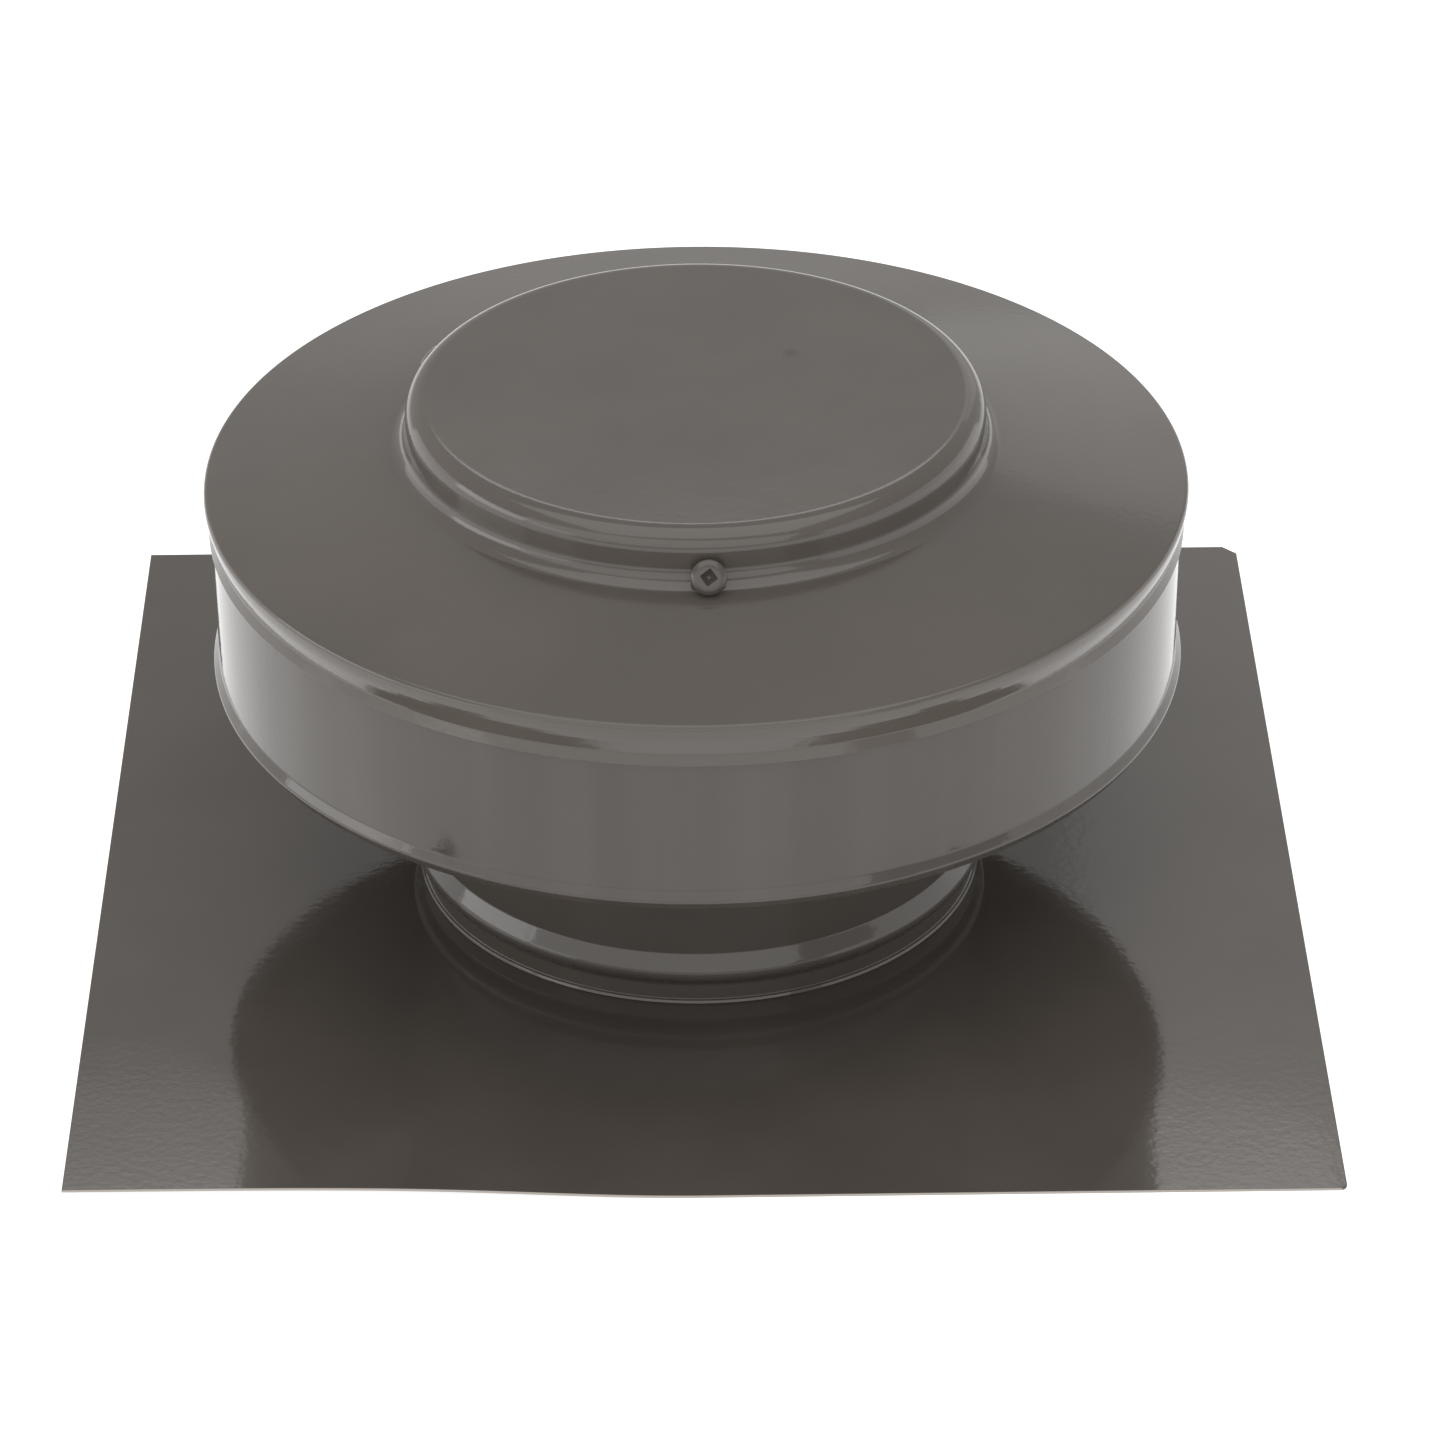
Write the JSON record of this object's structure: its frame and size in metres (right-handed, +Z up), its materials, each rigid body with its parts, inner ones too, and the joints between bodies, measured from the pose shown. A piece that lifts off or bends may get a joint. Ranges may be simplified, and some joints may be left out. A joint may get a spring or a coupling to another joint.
{
  "type": "static roof vent",
  "caption": "Low round roof vent: square deck flashing, short beaded throat, and a wide round hood with a raised flat crown held over it on straps.",
  "frame": {"origin": "centre of the throat at the underside of the flashing, where it lies on the roof deck", "axes": "+Z up along the throat's axis, away from the deck; +X and +Y along the flashing's sides; the straight front edge faces -Y"},
  "size_m": [0.3302, 0.3302, 0.1465],
  "materials": {
    "painted_sheet": "gloss",
    "painted_screw": "gloss",
    "painted_strap": "semi-gloss",
    "mill_sheet": "mill"
  },
  "bodies": {
    "root": {"base_flashing": "painted_sheet", "throat_collar": "painted_sheet", "hood_band": "painted_sheet", "cap_top": "painted_sheet", "cap_strap_1": "painted_strap", "cap_strap_2": "painted_strap", "cap_strap_3": "painted_strap", "cap_screws": "painted_screw", "strap_rivets": "mill_sheet", "insect_screen": "mill_sheet"}
  },
  "joints": []
}
